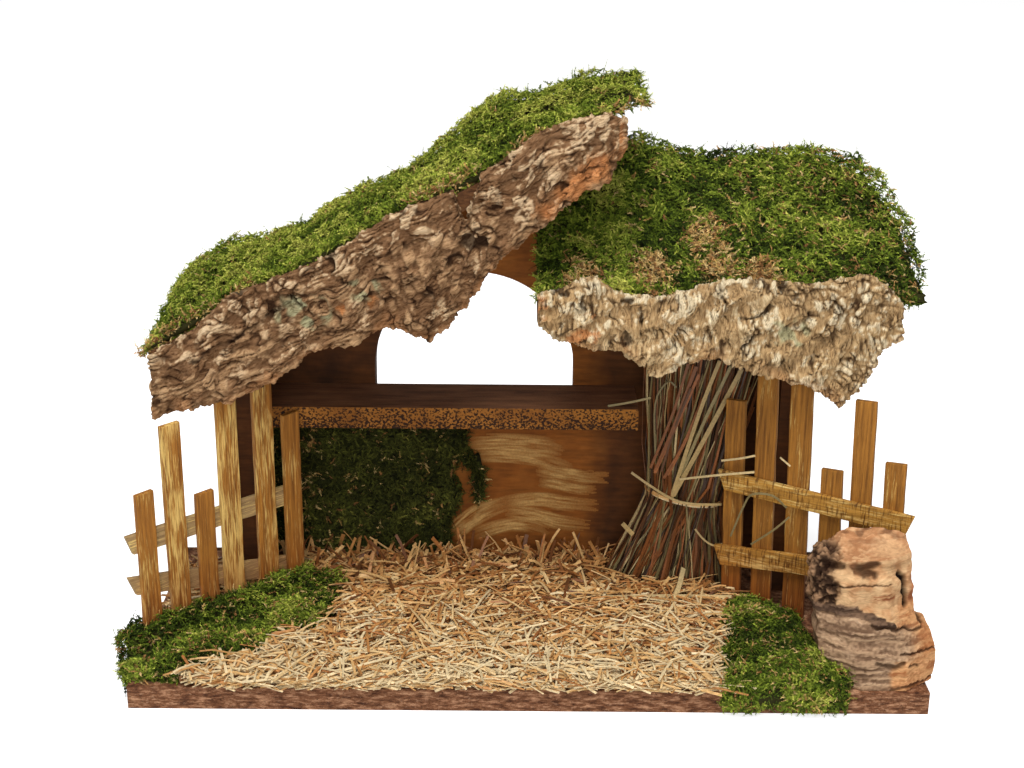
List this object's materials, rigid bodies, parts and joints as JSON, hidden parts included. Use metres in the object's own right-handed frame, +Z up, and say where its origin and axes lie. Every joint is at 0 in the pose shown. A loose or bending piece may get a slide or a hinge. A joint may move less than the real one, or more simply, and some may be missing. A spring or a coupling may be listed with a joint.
{
  "type": "nativity stable",
  "caption": "Wooden crib-scene stable with an arched back window, loft shelf, bark-edged mossy roofs, slanting picket fences, a tied straw sheaf and a straw-strewn floor on a flat base.",
  "frame": {"origin": "centre of the base board's underside", "axes": "+X to the right seen from the open front, +Y from the open front to the back wall, +Z up"},
  "size_m": [0.4145, 0.177, 0.2935],
  "materials": {
    "base_chipboard": "matte stained chipboard",
    "wall_board": "matte stained board",
    "shelf_chipboard": "matte stained chipboard",
    "roof_board": "matte stained board",
    "cork_bark": "rough cork bark",
    "stump_bark": "rough broken cork bark",
    "fence_wood": "matte stained strips with dry-brushed highlights",
    "moss": "dried moss",
    "chopped_straw": "dry straw, faint gloss",
    "sheaf_straw": "dry grass and straw stalks",
    "nail_steel": "plain steel wire nails"
  },
  "bodies": {
    "root": {"base_board": "base_chipboard", "back_wall": "wall_board", "left_side_wall": "wall_board", "right_side_wall": "wall_board", "loft_shelf": "shelf_chipboard", "left_roof_panel": "roof_board", "right_roof_panel": "roof_board", "left_roof_bark": "cork_bark", "right_roof_bark": "cork_bark", "left_roof_moss": "moss", "right_roof_moss": "moss", "back_wall_moss": "moss", "wall_moss_tuft": "moss", "left_corner_moss": "moss", "right_corner_moss": "moss", "bark_stump": "stump_bark", "floor_straw": "chopped_straw", "straw_sheaf": "sheaf_straw", "sheaf_tie": "chopped_straw", "left_upper_rail": "fence_wood", "left_lower_rail": "fence_wood", "right_upper_rail": "fence_wood", "right_lower_rail": "fence_wood", "left_picket_1": "fence_wood", "left_picket_2": "fence_wood", "left_picket_3": "fence_wood", "left_picket_4": "fence_wood", "left_picket_5": "fence_wood", "left_picket_6": "fence_wood", "right_picket_1": "fence_wood", "right_picket_2": "fence_wood", "right_picket_3": "fence_wood", "right_picket_4": "fence_wood", "right_picket_5": "fence_wood", "right_picket_6": "fence_wood", "base_nails": "nail_steel", "wall_nails": "nail_steel", "roof_nails": "nail_steel"}
  },
  "joints": []
}
